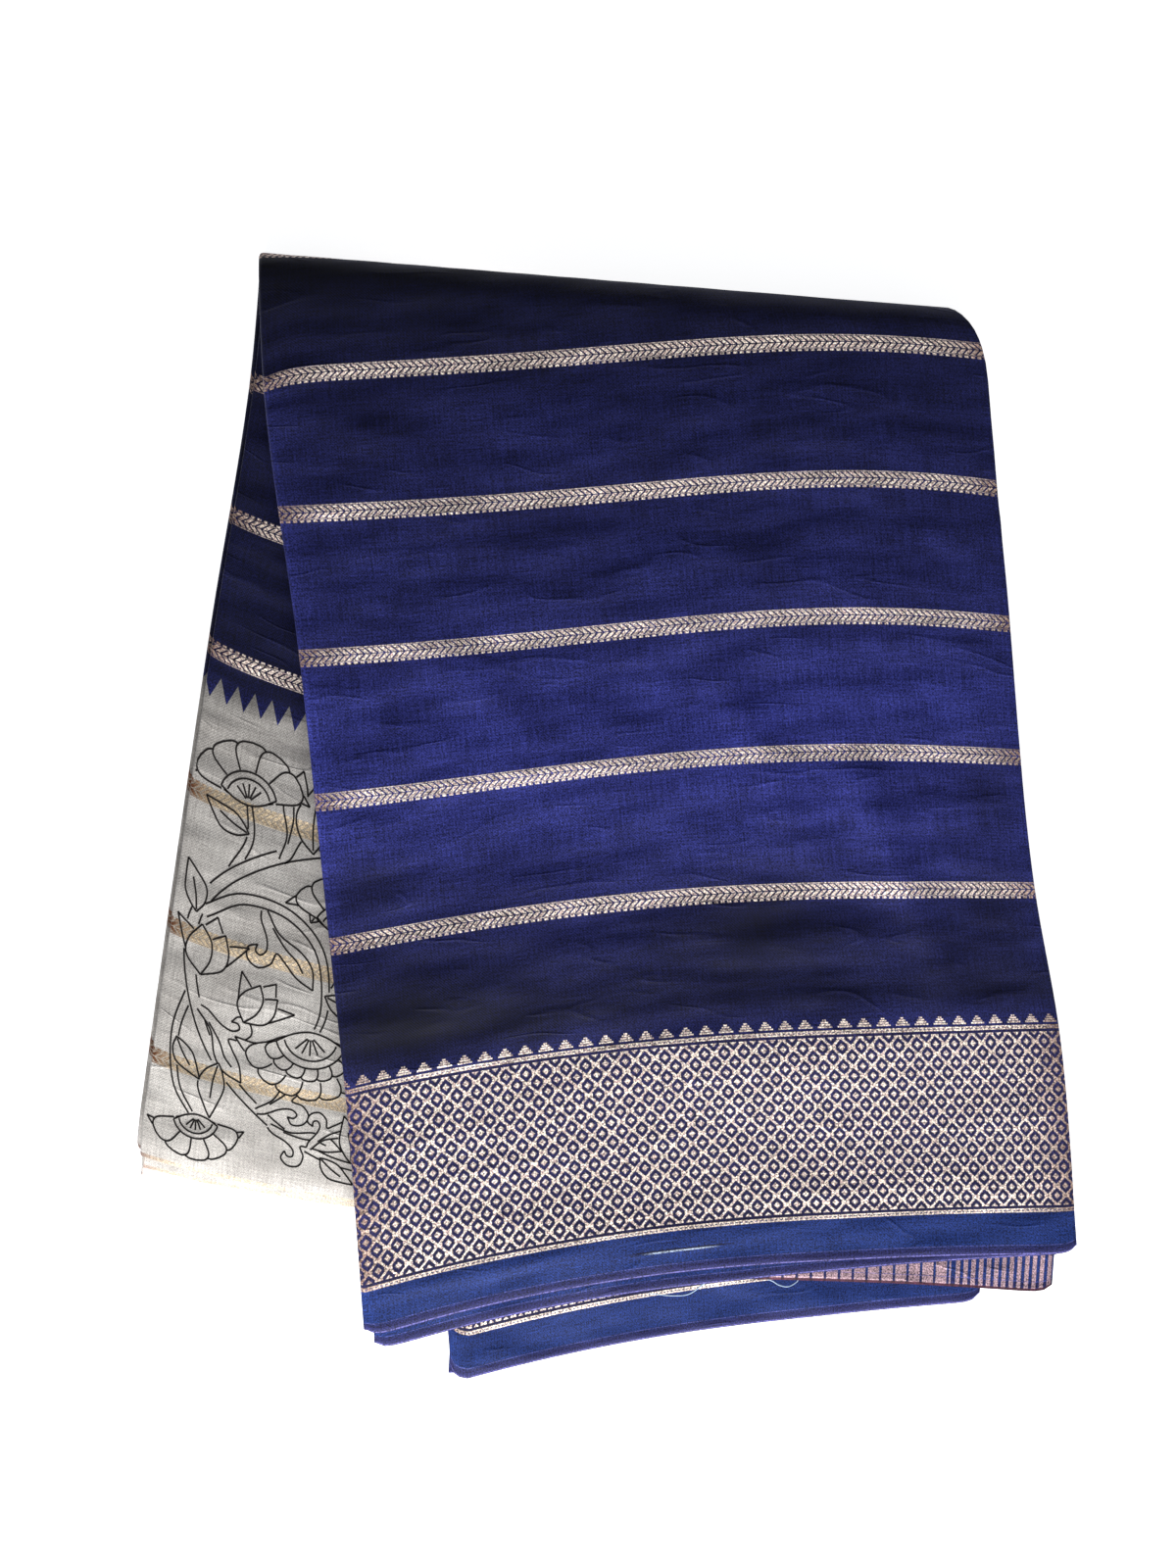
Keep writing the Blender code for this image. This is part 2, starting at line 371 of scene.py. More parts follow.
@dataclass
class SariCloth:
    """The one woven length, as a thin sheet with its pattern's own map."""

    shape: PileShape
    fold_steps: int = 5
    turn_pitch: float = 5 * MM
    back_stations: int = 26
    corner_shares: tuple[float, ...] = (0.0, 0.003, 0.007, 0.014, 0.025, 0.04)
    corner_held: tuple[float, ...] = (1.0, 0.5, 0.22, 0.12, 0.05, 0.0)
    # painted light and shade across the width, darkest over the half fold
    painted_light_rows: tuple[tuple[float, float], ...] = (
        (0, 0.56), (26, 0.56), (60, 0.9), (130, 0.9), (150, 0.28), (200, 0.55), (250, 1.12),
        (320, 1.22), (365, 0.84), (442, 0.58), (505, 0.42), (530, 0.26), (575, 0.09), (620, 0.09),
        (700, 0.24), (840, 0.24), (846, 0.90), (930, 0.95), (1010, 1.08), (1070, 1.30), (1118, 1.16))
    # painted patches: negative amounts are painted shade of soft undulations, positive ones painted sheen
    spots: tuple[PaintedPatch, ...] = (
        PaintedPatch(0.58, 192, 0.12, 24, -0.70),
        PaintedPatch(0.10, 164, 0.12, 20, -0.55),
        PaintedPatch(0.06, 238, 0.06, 15, -0.60),
        PaintedPatch(0.30, 200, 0.10, 18, 0.35),
        PaintedPatch(0.95, 262, 0.05, 26, -0.40),
        PaintedPatch(0.93, 205, 0.05, 18, -0.35),
        PaintedPatch(0.62, 290, 0.16, 40, 0.35),
        PaintedPatch(0.24, 330, 0.10, 40, 0.22),
        PaintedPatch(0.78, 200, 0.07, 34, 0.35),
        PaintedPatch(0.40, 480, 0.12, 22, 0.25),
    )
    hem_pitch: float = 3 * MM
    hem_to: float = 42 * MM
    flat_pitch: float = 10 * MM
    turn_from: float = 520 * MM
    turn_to: float = 680 * MM
    big_jump: float = 10 * MM
    crowding: float = 0.55
    near_fold_reach: float = 0.08
    # painted shade on the left of the front above the border, and a painted highlight along the left fold
    left_shade_rows: tuple[tuple[float, ...], ...] = ((126, 150, 190, 230), (0, 1, 0.6, 0))
    left_shade_reach: float = 0.5
    left_painted_shade: float = 0.45
    fold_painted_highlight: float = 0.45
    fold_highlight_reach: float = 0.012

    def widths(self) -> np.ndarray:
        """Stations across the cloth, closer over the half fold."""
        hem = np.arange(0, self.hem_to, self.hem_pitch)
        front = np.arange(self.hem_to, self.turn_from, self.flat_pitch)
        turn = np.arange(self.turn_from, self.turn_to, self.turn_pitch)
        back = np.linspace(self.turn_to, self.shape.cloth_width, self.back_stations)
        return np.concatenate([hem, front, turn, back])

    def painted_light_and_shade(self, share: np.ndarray, width: np.ndarray) -> np.ndarray:
        """Painted light and shade: a curve over the width that is darkest over the half fold, painted shade
        on the left, a painted highlight by the left fold, times a bell for each painted patch.
        """
        rows = np.array(self.painted_light_rows)
        total = np.interp(width / MM, rows[:, 0], rows[:, 1])
        # painted shade on the left above the border
        left = np.clip(1 - share / self.left_shade_reach, 0, 1) * np.interp(width / MM, *self.left_shade_rows)
        total *= 1 - self.left_painted_shade * left
        # painted highlight along the left fold, on the front half
        by_fold = np.exp(-np.clip(share, 0, 1) / self.fold_highlight_reach)
        total *= 1 + self.fold_painted_highlight * by_fold * (width < self.turn_from)
        # a bell of painted shade or sheen for each patch
        for spot in self.spots:
            off = ((share - spot.share) / spot.reach) ** 2
            off += ((width / MM - spot.width_at) / spot.width_reach) ** 2
            total *= 1 + spot.amount * np.exp(-off)
        return total

    def section(self) -> dict[str, np.ndarray]:
        """Walk the panels and the folds between them.

        A panel takes over its own drop and insets within a short ease from
        the fold that it comes from.
        """
        nodes: list[tuple[float, ...]] = []
        panels = self.shape.panels
        for number, panel in enumerate(panels):
            shares = np.linspace(0, 1, panel.columns + 1)
            shares = shares - self.crowding * np.sin(2 * math.pi * shares) / (2 * math.pi)
            jump = 0.0
            if number:
                jump = panel_drop(panel, 0) - panel_drop(panels[number - 1], 0)
            if abs(jump) > self.big_jump:
                shares = np.concatenate([self.corner_shares, shares[shares > self.corner_shares[-1]]])
            else:
                jump = 0.0
            if panel.runs is Runs.LEFT:
                shares = shares[::-1]
            for share in shares:
                held_back = jump * np.interp(share, self.corner_shares, self.corner_held)
                nodes.append((share, 0.0, panel.layer, panel_drop(panel, share) - held_back,
                              panel.insets[0] * MM, panel.insets[1] * MM))
            if number + 1 < len(panels):
                self.fold(nodes, panel, panels[number + 1])
        return dict(zip(SECTION, np.array(nodes).T))

    def fold(self, nodes: list[tuple[float, ...]], panel: Panel, following: Panel) -> None:
        """Round a panel's end to the layer that the cloth goes on in.

        Args:
            nodes: the section so far, which the fold is added to.
            panel: the panel that ends here.
            following: the panel that starts here.
        """
        at_left = panel.runs is Runs.LEFT
        share = 0.0 if at_left else 1.0
        side = 0 if at_left else 1
        outward = -1 if at_left else 1
        radius = abs(following.layer - panel.layer) * self.shape.layer_pitch / 2
        for angle in np.linspace(0, math.pi, self.fold_steps + 2)[1:-1]:
            turned = (1 - math.cos(angle)) / 2
            layer = panel.layer + (following.layer - panel.layer) * turned
            insets = [size * MM for size in panel.insets]
            insets[side] = (panel.insets[side] + (following.insets[side] - panel.insets[side]) * turned) * MM
            late = max(0.0, 2 * turned - 1)
            held, new = panel_drop(panel, share), panel_drop(following, share)
            if abs(new - held) > self.big_jump:
                new = held
            nodes.append((share, outward * radius * math.sin(angle), layer,
                          held + (new - held) * late, *insets))

    def lengths(self, nodes: dict[str, np.ndarray]) -> np.ndarray:
        """Length of cloth from its outer cut end to each node."""
        flat = nodes["share"] * self.shape.panel_width + nodes["step"]
        high = nodes["layer"] * self.shape.layer_pitch
        return np.concatenate([[0], np.cumsum(np.hypot(np.diff(flat), np.diff(high)))])

    def build(self) -> bpy.types.Object:
        """Sheet over all nodes and widths, with its map in metres."""
        nodes = self.section()
        widths = self.widths()
        count, stations = len(nodes["share"]), len(widths)
        spread = {name: np.repeat(values[:, None], stations, axis=1) for name, values in nodes.items()}
        width = np.repeat(widths[None, :], count, axis=0)
        offset = self.shape.innermost_offset + (spread["layer"] - 1) * self.shape.layer_pitch
        places = self.shape.place(spread["share"], spread["step"], width, offset, spread["drop"],
                                  (spread["inset_left"], spread["inset_right"]))
        length = np.repeat(self.lengths(nodes)[:, None], stations, axis=1)
        near_fold = np.clip(1 - np.minimum(spread["share"], 1 - spread["share"]) / self.near_fold_reach, 0, 1)
        sheet = grid_object("sari_cloth", places, np.stack([length, width], axis=-1))
        # the second value is painted light and shade, which darkens and lightens the base colour
        for name, values in (("near_fold", near_fold), ("painted_light_and_shade", self.painted_light_and_shade(spread["share"], width))):
            marks = sheet.data.attributes.new(name, "FLOAT", "POINT")
            marks.data.foreach_set("value", values.ravel().astype(np.float32))
        thick = sheet.modifiers.new("cloth_thickness", "SOLIDIFY")
        thick.thickness = self.shape.cloth_thickness
        thick.offset = 0.0
        return sheet


def through(points: tuple[tuple[float, float], ...], steps: int = 9) -> np.ndarray:
    """Smooth curve through points.

    Each stretch is a cubic whose slope at a point is half the way between
    the point's neighbours.
    """
    given = np.array(points, dtype=float)
    padded = np.vstack([2 * given[0] - given[1], given, 2 * given[-1] - given[-2]])
    before, start, end, after = padded[:-3, None], padded[1:-2, None], padded[2:-1, None], padded[3:, None]
    t = np.linspace(0, 1, steps, endpoint=False)[None, :, None]
    curve = 0.5 * (2 * start + (end - before) * t + (2 * before - 5 * start + 4 * end - after) * t**2
                   + (3 * start - before - 3 * end + after) * t**3)
    return np.vstack([curve.reshape(-1, 2), given[-1:]])


def sideways(line: np.ndarray, reach: np.ndarray) -> np.ndarray:
    """A line's points moved square to it by a reach for each point."""
    run = np.gradient(line, axis=0)
    run /= np.maximum(np.linalg.norm(run, axis=1), 1e-9)[:, None]
    return line + np.stack([-run[:, 1], run[:, 0]], axis=1) * reach[:, None]


@dataclass
class FlowerScroll:
    """Traditional lotus and leaf scroll drawn in outline, on its own layout.

    Places are in millimetres: from the tile's left, and across the cloth
    from its front selvedge. Directions are in degrees, 0 to the right and 90
    towards the far selvedge. A shape hides what is drawn before it.
    """

    lines: list[np.ndarray] = field(default_factory=list)

    def cover(self, outline: np.ndarray) -> None:
        """Hide the lines drawn so far where they pass inside a closed outline.

        A point is inside where a ray from it crosses the outline an odd
        number of times.
        """
        start, end = outline, np.roll(outline, -1, axis=0)
        kept = []
        for line in self.lines:
            x, y = line[:, :1], line[:, 1:]
            spans = (start[:, 1] > y) != (end[:, 1] > y)
            rise = np.where(end[:, 1] == start[:, 1], 1.0, end[:, 1] - start[:, 1])
            at = start[:, 0] + (y - start[:, 1]) * (end[:, 0] - start[:, 0]) / rise
            hidden = (spans & (x < at)).sum(axis=1) % 2 == 1
            cuts = np.flatnonzero(np.diff(hidden)) + 1
            parts = zip(np.split(line, cuts), np.split(hidden, cuts))
            kept += [part for part, gone in parts if len(part) > 1 and not gone[0]]
        self.lines = kept

    def stem(self, gap: float, *points: tuple[float, float]) -> None:
        """Two lines beside a curve, which close in on its end."""
        middle = through(points)
        reach = gap / 2 * np.linspace(1, 0.3, len(middle)) ** 0.6
        left, right = sideways(middle, reach), sideways(middle, -reach)
        self.cover(np.vstack([left, right[::-1]]))
        self.lines += [left, right]

    def place(self, at: tuple[float, float], facing: float, size: float, hand: int,
              shapes: tuple[tuple[tuple[float, float], ...], ...], closed: int) -> None:
        """Draw a motif given in its own frame, +y ahead and in units of its size.

        Args:
            at: the motif's foot.
            facing: the way it faces, in degrees.
            size: its size in millimetres.
            hand: 1, or -1 to mirror it.
            shapes: points of each of its lines.
            closed: how many of the first lines make its outline, end to end.
        """
        turn = math.radians(facing)
        ahead = np.array([math.cos(turn), math.sin(turn)]) * size
        aside = np.array([math.sin(turn), -math.cos(turn)]) * size * hand
        drawn = []
        for shape in shapes:
            curve = through(shape)
            drawn.append(np.array(at) + curve[:, :1] * aside + curve[:, 1:] * ahead)
        if closed:
            self.cover(np.vstack(drawn[:closed]))
        self.lines += drawn

    def hooked_leaf(self, at: tuple[float, float], facing: float, size: float, hand: int) -> None:
        """Leaf that sweeps to a pointed tip, with a round hook on its other side."""
        back = ((0.0, 0.0), (0.10, 0.30), (0.34, 0.55), (0.44, 0.78), (0.40, 1.05))
        front = ((0.40, 1.05), (0.22, 0.88), (0.10, 0.66), (0.02, 0.55), (-0.08, 0.68), (-0.25, 0.72),
                 (-0.36, 0.60), (-0.33, 0.45), (-0.20, 0.42))
        under = ((-0.20, 0.42), (-0.24, 0.50), (-0.19, 0.56), (-0.10, 0.50), (-0.07, 0.34),
                 (-0.10, 0.12), (-0.08, 0.0))
        vein = ((0.03, 0.22), (0.14, 0.48), (0.26, 0.66), (0.31, 0.82))
        self.place(at, facing, size, hand, (back, front, under, vein), 3)

    def leaf(self, at: tuple[float, float], facing: float, size: float, hand: int) -> None:
        """Plain leaf with a rib part of the way and a bent tip."""
        left = ((0.0, 0.0), (-0.17, 0.22), (-0.20, 0.52), (0.02, 0.84), (0.16, 1.0))
        right = ((0.16, 1.0), (0.20, 0.72), (0.22, 0.40), (0.12, 0.16), (0.0, 0.0))
        rib = ((0.0, 0.05), (0.01, 0.35), (0.06, 0.66))
        self.place(at, facing, size, hand, (left, right, rib), 2)

    def bud(self, at: tuple[float, float], facing: float, size: float) -> None:
        """Closed flower: open petals at the sides and two petals over a middle one."""
        for away, hand in ((34, 1), (-34, -1)):
            self.place(at, facing + away, size, hand,
                       (((0.0, 0.0), (0.16, 0.3), (0.16, 0.65), (-0.06, 1.0)),
                        ((-0.06, 1.0), (-0.10, 0.6), (-0.10, 0.3), (0.0, 0.0))), 2)
        self.place(at, facing, size, 1,
                   (((0.0, 0.0), (-0.26, 0.30), (-0.24, 0.66), (0.0, 1.05)),
                    ((0.0, 1.05), (0.24, 0.66), (0.26, 0.30), (0.0, 0.0))), 2)
        for hand in (1, -1):
            self.place(at, facing, size, hand,
                       (((0.0, 0.0), (-0.30, 0.22), (-0.34, 0.5), (-0.2, 0.82)),
                        ((-0.2, 0.82), (0.02, 0.6), (0.08, 0.3), (0.0, 0.0))), 2)

    def lotus(self, at: tuple[float, float], facing: float, size: float, petals: int, rows: int = 1) -> None:
        """Fan of round petals over a scalloped cup, with long petals at its sides.

        Args:
            at: the foot of the flower.
            facing: the way it opens, in degrees.
            size: from the foot to the petals' ends.
            petals: number of petals in a row.
            rows: rows of petals.
        """
        for hand in (1, -1):
            self.place(at, facing, size, hand,
                       (((0.0, 0.0), (0.35, 0.05), (0.72, 0.22), (1.06, 0.18)),
                        ((1.06, 0.18), (0.86, 0.42), (0.5, 0.56), (0.0, 0.3))), 2)
        for row in range(rows):
            share = 1.0 - 0.3 * row
            for away in np.linspace(-60, 60, petals):
                half = 0.62 * 120 / (petals - 1) * math.pi / 180
                self.place(at, facing + away, size * share, 1,
                           (((-0.5 * half, 0.45), (-0.85 * half, 0.8), (-0.6 * half, 0.96), (0.0, 1.0)),
                            ((0.0, 1.0), (0.6 * half, 0.96), (0.85 * half, 0.8), (0.5 * half, 0.45))), 2)
        cup = np.radians(np.linspace(-74, 74, 13))
        rim = tuple((0.5 * math.sin(turn), 0.5 * math.cos(turn)) for turn in cup)
        self.place(at, facing, size, 1, (rim, (rim[-1], (0.25, 0.0), (0.0, -0.06), (-0.25, 0.0), rim[0])), 2)
        inner = tuple((0.38 * math.sin(turn), 0.38 * math.cos(turn)) for turn in cup)
        self.place(at, facing, size, 1, (inner,), 0)
        for away in np.linspace(-44, 44, 5):
            self.place(at, facing + away, size, 1, (((0.0, 0.06), (0.0, 0.3)),), 0)

    def draw(self) -> list[np.ndarray]:
        """The whole tile, 130 mm wide: branches first, then the main stems and flowers."""
        self.stem(5.0, (28, 936), (35, 916), (31, 894))
        self.stem(5.0, (88, 1000), (97, 972), (92, 948))
        self.stem(5.0, (16, 1006), (10, 1036), (14, 1066), (26, 1084))
        self.stem(5.0, (66, 942), (84, 936), (100, 918))
        self.stem(8.0, (130, 899), (116, 899), (88, 906), (52, 921), (24, 944), (11, 972), (16, 1010),
                  (34, 1046), (66, 1074), (98, 1090), (118, 1094), (130, 1094))
        self.stem(6.5, (16, 964), (36, 950), (62, 951), (82, 968), (89, 1000), (84, 1024))
        for motif in (((52, 922), -62, 46, 1), ((50, 952), 72, 44, 1), ((84, 908), 38, 36, -1),
                      ((20, 1020), 30, 42, -1), ((70, 1077), 32, 38, 1), ((60, 1070), -24, 40, 1),
                      ((94, 1088), -66, 32, -1), ((104, 903), -72, 40, 1)):
            self.hooked_leaf(*motif)
        for motif in (((12, 966), 262, 28, 1), ((74, 952), -62, 24, -1), ((36, 1048), 100, 34, 1),
                      ((88, 992), 18, 34, 1), ((34, 914), 196, 28, -1), ((100, 1092), 42, 24, 1),
                      ((118, 1092), -96, 30, 1), ((118, 902), 78, 26, -1), ((70, 914), -100, 42, -1),
                      ((11, 1040), 62, 26, 1)):
            self.leaf(*motif)
        self.bud((19, 1000), -82, 34)
        self.bud((100, 920), 62, 26)
        for motif in (((31, 897), -94, 32, 5), ((84, 1018), 84, 40, 7, 2), ((92, 954), -84, 32, 6),
                      ((28, 1084), 84, 26, 5)):
            self.lotus(*motif)
        self.bud((46, 1020), -62, 30)
        return self.lines


@dataclass
class PrintedOutlines:
    """The scroll as thin strips of ink on the cloth's two outermost printed faces."""

    shape: PileShape
    line_width: float = 1.0
    tile: float = 130.0
    tiles: int = 3
    lift: float = 0.12 * MM
    within_panel: tuple[float, float] = (0.5, 389.5)
    within_print: tuple[float, float] = (853.0, 1117.5)

    def strokes(self) -> list[np.ndarray]:
        """All the tile's lines, the middle tile turned over sideways."""
        drawn = FlowerScroll().draw()
        every = []
        for number in range(self.tiles):
            for line in drawn:
                moved = line.copy()
                if number % 2:
                    moved[:, 0] = self.tile - moved[:, 0]
                moved[:, 0] += number * self.tile
                every.append(moved)
        return every

    def build(self) -> bpy.types.Object:
        """Strips beside every line, laid on the inner and outer printed faces."""
        panels = {panel.layer: panel for panel in self.shape.panels}
        places, quads, maps = [], [], []
        count = 0
        for layer, side in ((1, -1), (14, 1)):
            panel = panels[layer]
            for line in self.strokes():
                reach = np.full(len(line), self.line_width / 2)
                pair = np.stack([sideways(line, reach), sideways(line, -reach)], axis=1)
                pair[..., 0] = np.clip(pair[..., 0], *self.within_panel)
                pair[..., 1] = np.clip(pair[..., 1], *self.within_print)
                share = pair[..., 0] * MM / self.shape.panel_width
                width = pair[..., 1] * MM
                outward = self.shape.cloth_thickness / 2 + self.lift
                offset = np.full_like(share, self.shape.offset(layer) + side * outward)
                drop = np.interp(share, (0, 0.5, 1), panel.drops) * MM
                inset = tuple(np.full_like(share, size * MM) for size in panel.insets)
                spots = self.shape.place(share, np.zeros_like(share), width, offset, drop, inset)
                places.append(spots.reshape(-1, 3))
                index = count + np.arange(len(line) * 2).reshape(-1, 2)
                face = np.stack([index[:-1, 0], index[:-1, 1], index[1:, 1], index[1:, 0]], axis=-1)
                quads.append(face if side > 0 else face[:, ::-1])
                maps.append(pair.reshape(-1, 2) * MM)
                count += len(line) * 2
        drawn = mesh_object("printed_outlines",
                            *(np.concatenate(parts) for parts in (places, quads, maps)))
        drawn.data.materials.append(ink_material())
        return drawn


@dataclass
class LooseThreads:
    """Two thread ends pulled from the cut end, which lie on the hem."""

    ends: tuple[tuple[tuple[float, float, float, float], ...], ...] = (
        ((15.2, -257.6, 30.0, 0.25), (28.8, -259.6, 29.0, 0.25), (38.6, -258.8, 29.0, 0.3),
         (47.8, -252.6, 30.0, 0.45), (59.9, -249.7, 31.0, 0.5), (73.6, -249.0, 31.5, 0.3)),
        ((73.6, -249.0, 31.0, 0.25), (84.0, -252.6, 30.0, 0.25), (88.4, -255.4, 29.0, 0.25),
         (93.9, -256.6, 28.5, 0.25), (98.8, -254.1, 28.5, 0.25), (99.4, -251.9, 29.0, 0.2)),
    )
    sides: int = 6

    def build(self) -> bpy.types.Object:
        """Closed tubes: rings of points square to each thread's curve."""
        places, quads, maps = [], [], []
        count = 0
        for end in self.ends:
            table = np.array(end) * MM
            flat = through(tuple(map(tuple, table[:, :2])))
            high = through(tuple((i, z) for i, z in enumerate(table[:, 2])))[:, 1]
            size = through(tuple((i, r) for i, r in enumerate(table[:, 3])))[:, 1]
            size[0] = size[-1] = 0.02 * MM
            line = np.column_stack([flat, high])
            run = np.gradient(line, axis=0)
            run /= np.linalg.norm(run, axis=1)[:, None]
            square = np.stack([-run[:, 1], run[:, 0], np.zeros(len(run))], axis=1)
            square /= np.linalg.norm(square, axis=1)[:, None]
            up = np.cross(run, square)
            turn = np.linspace(0, 2 * math.pi, self.sides, endpoint=False)
            ring = (np.cos(turn)[None, :, None] * square[:, None] + np.sin(turn)[None, :, None] * up[:, None])
            tube = line[:, None] + ring * size[:, None, None]
            index = count + np.arange(len(line) * self.sides).reshape(-1, self.sides)
            after = np.roll(index, -1, axis=1)
            quads.append(np.stack([index[:-1], after[:-1], after[1:], index[1:]], axis=-1).reshape(-1, 4))
            places.append(tube.reshape(-1, 3))
            maps.append(np.zeros((len(line) * self.sides, 2)))
            count += len(line) * self.sides
        threads = mesh_object("loose_threads",
                              *(np.concatenate(parts) for parts in (places, quads, maps)))
        threads.data.materials.append(thread_material())
        return threads


def grid_object(name: str, places: np.ndarray, uv: np.ndarray) -> bpy.types.Object:
    """Mesh of quads over a grid of places.

    Args:
        name: the object's name.
        places: rows by columns by 3 places.
        uv: rows by columns by 2 map values.

    Returns:
        The linked object, shaded smooth, with its map named "cloth".
    """
    rows, columns = places.shape[:2]
    index = np.arange(rows * columns).reshape(rows, columns)
    quads = np.stack([index[:-1, :-1], index[:-1, 1:], index[1:, 1:], index[1:, :-1]], axis=-1)
    return mesh_object(name, places.reshape(-1, 3), quads.reshape(-1, 4), uv.reshape(-1, 2))


def mesh_object(name: str, places: np.ndarray, quads: np.ndarray, uv: np.ndarray) -> bpy.types.Object:
    """Mesh object from places, quads and a map value for each place."""
    data = bpy.data.meshes.new(name)
    data.from_pydata(places.tolist(), [], quads.tolist())
    layer = data.uv_layers.new(name="cloth")
    layer.data.foreach_set("uv", uv[quads.ravel()].astype(np.float32).ravel())
    data.shade_smooth()
    thing = bpy.data.objects.new(name, data)
    bpy.context.scene.collection.objects.link(thing)
    return thing


def linear(code: str) -> tuple[float, float, float, float]:
    """Linear colour with full alpha from an sRGB hex code."""
    values = [int(code[i:i + 2], 16) / 255 for i in (1, 3, 5)]
    curve = [v / 12.92 if v <= 0.04045 else ((v + 0.055) / 1.055) ** 2.4 for v in values]
    return curve[0], curve[1], curve[2], 1.0


MIX = "ShaderNodeMix"
NOISE = "ShaderNodeTexNoise"
BUMP = "ShaderNodeBump"


@dataclass
class NodeSheet:
    """The nodes of one new material, round its Principled shader."""

    name: str

    def __post_init__(self) -> None:
        """Make the material."""
        self.material = bpy.data.materials.new(self.name)
        self.material.use_nodes = True
        self.tree = self.material.node_tree

    def feed(self, socket: bpy.types.NodeSocket, value: Any) -> None:
        """Link an input to another socket, or set its own value."""
        if isinstance(value, bpy.types.NodeSocket):
            self.tree.links.new(value, socket)
        elif value is not None:
            socket.default_value = value

    def add(self, kind: str, *inputs: Any, output: str = "", **settings: Any) -> Any:
        """Add a node with its settings and links.

        Args:
            kind: the node's type name, or the operation of a Math node.
            inputs: a socket or a plain value for each input in turn, or None.
            output: name of the output that is wanted, instead of the first.
            settings: the node's own settings.

        Returns:
            The wanted output, or the first live one.
        """
        if not kind.startswith("ShaderNode"):
            settings["operation"] = kind
            kind = "ShaderNodeMath"
        node = self.tree.nodes.new(kind)
        for name, value in settings.items():
            setattr(node, name, value)
        for socket, value in zip([socket for socket in node.inputs if socket.enabled], inputs):
            self.feed(socket, value)
        if output:
            return node.outputs[output]
        return next(socket for socket in node.outputs if socket.enabled)

    def most(self, *masks: Any) -> Any:
        """Highest of several masks."""
        return reduce(lambda highest, mask: self.add("MAXIMUM", highest, mask), masks)

    def layers(self, ground: Any, *coats: tuple[Any, Any]) -> Any:
        """Lay coats of colour over a ground in turn.

        Args:
            ground: the ground's colour, a socket or an sRGB hex code.
            coats: for each coat its mask, and its colour in the same form.

        Returns:
            The colour of the whole.
        """
        colour = linear(ground) if isinstance(ground, str) else ground
        for mask, coat in coats:
            over = linear(coat) if isinstance(coat, str) else coat
            colour = self.add(MIX, mask, colour, over, data_type="RGBA")
        return colour

    def surface(self, values: dict[str, Any]) -> bpy.types.Material:
        """Feed the shader's named inputs and return the material."""
        shader = self.tree.nodes["Principled BSDF"]
        for name, value in values.items():
            self.feed(shader.inputs[name], value)
        return self.material


